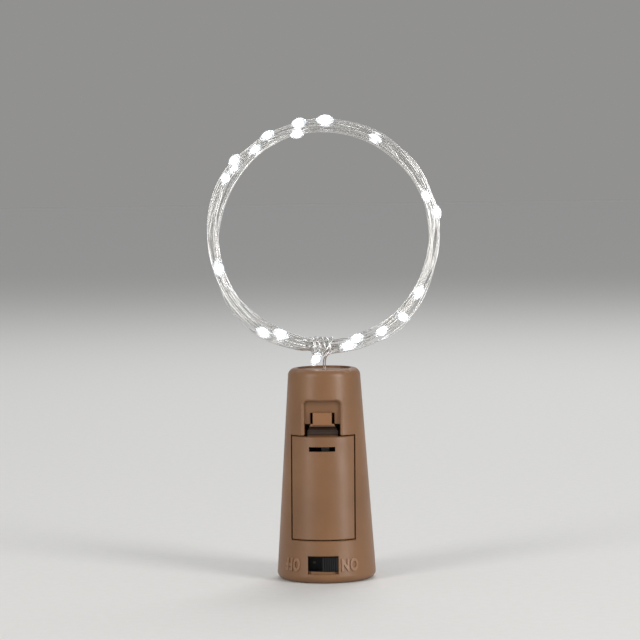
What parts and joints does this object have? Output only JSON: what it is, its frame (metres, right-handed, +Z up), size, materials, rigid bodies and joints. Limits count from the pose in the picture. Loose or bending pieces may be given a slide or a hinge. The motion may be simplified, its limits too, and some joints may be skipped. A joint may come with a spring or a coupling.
{
  "type": "cork bottle light",
  "caption": "Tapered cork shaped battery holder with a slide switch and a latched cover, and a wire string of light beads wound into a ring above it.",
  "frame": {"origin": "centre of the cork's flat underside", "axes": "+Z up along the cork's axis, towards the end where the string leaves; the battery cover and the switch face -Y"},
  "size_m": [0.06, 0.0252, 0.1179],
  "materials": {
    "cork_plastic": "satin brown plastic",
    "latch_plastic": "satin orange brown plastic",
    "tray_plastic": "matt moulded plastic",
    "switch_plastic": "matt black",
    "contact_steel": "plated spring steel",
    "contact_brass": "plain",
    "cell_steel": "bright steel",
    "cell_gasket": "matt black",
    "board": "green laminate",
    "resistor_ceramic": "matt",
    "glue": "milky glue",
    "lead_sleeve": "soft sleeve",
    "silver_wire": "silver plated copper",
    "bead_resin": "clear resin drop",
    "light_chip": "lit"
  },
  "bodies": {
    "cork": {"housing": "cork_plastic", "base_cap": "cork_plastic", "battery_tray": "tray_plastic", "negative_plate": "contact_steel", "negative_spring": "contact_steel", "positive_contact": "contact_steel", "circuit_board": "board", "resistor": "resistor_ceramic", "switch_body": "switch_plastic", "switch_pins": "contact_brass", "wire_glue": "glue", "positive_lead": "lead_sleeve", "string_lead": "lead_sleeve", "board_lead": "lead_sleeve", "wire_tail": "silver_wire", "wire_coil": "silver_wire", "wire_tie": "silver_wire", "light_chips": "light_chip", "light_bead_01": "bead_resin", "light_bead_02": "bead_resin", "light_bead_03": "bead_resin", "light_bead_04": "bead_resin", "light_bead_05": "bead_resin", "light_bead_06": "bead_resin", "light_bead_07": "bead_resin", "light_bead_08": "bead_resin", "light_bead_09": "bead_resin", "light_bead_10": "bead_resin", "light_bead_11": "bead_resin", "light_bead_12": "bead_resin", "light_bead_13": "bead_resin", "light_bead_14": "bead_resin", "light_bead_15": "bead_resin", "light_bead_16": "bead_resin", "light_bead_17": "bead_resin", "light_bead_18": "bead_resin", "light_bead_19": "bead_resin", "light_bead_20": "bead_resin", "cell_1_can": "cell_steel", "cell_1_gasket": "cell_gasket", "cell_1_cap": "cell_steel", "cell_2_can": "cell_steel", "cell_2_gasket": "cell_gasket", "cell_2_cap": "cell_steel", "cell_3_can": "cell_steel", "cell_3_gasket": "cell_gasket", "cell_3_cap": "cell_steel"},
    "slider": {"switch_slider": "switch_plastic", "switch_wiper": "contact_brass"},
    "cover": {"battery_cover": "cork_plastic"},
    "latch": {"cover_latch": "latch_plastic"}
  },
  "joints": [
    {"name": "switch_slide", "type": "slide", "parent": "cork", "child": "slider", "axis": [1, 0, 0], "range_m": [-0.0036, 0]},
    {"name": "cover_tip", "type": "hinge", "parent": "cork", "child": "cover", "pos_m": [0, -0.01201, 0.01105], "axis": [1, 0, 0], "range_deg": [0, 70]},
    {"name": "latch_press", "type": "hinge", "parent": "cover", "child": "latch", "pos_m": [0, -0.00672, 0.03831], "axis": [1, 0, 0], "range_deg": [0, 8], "stiffness_Nm_per_rad": 0.02}
  ]
}
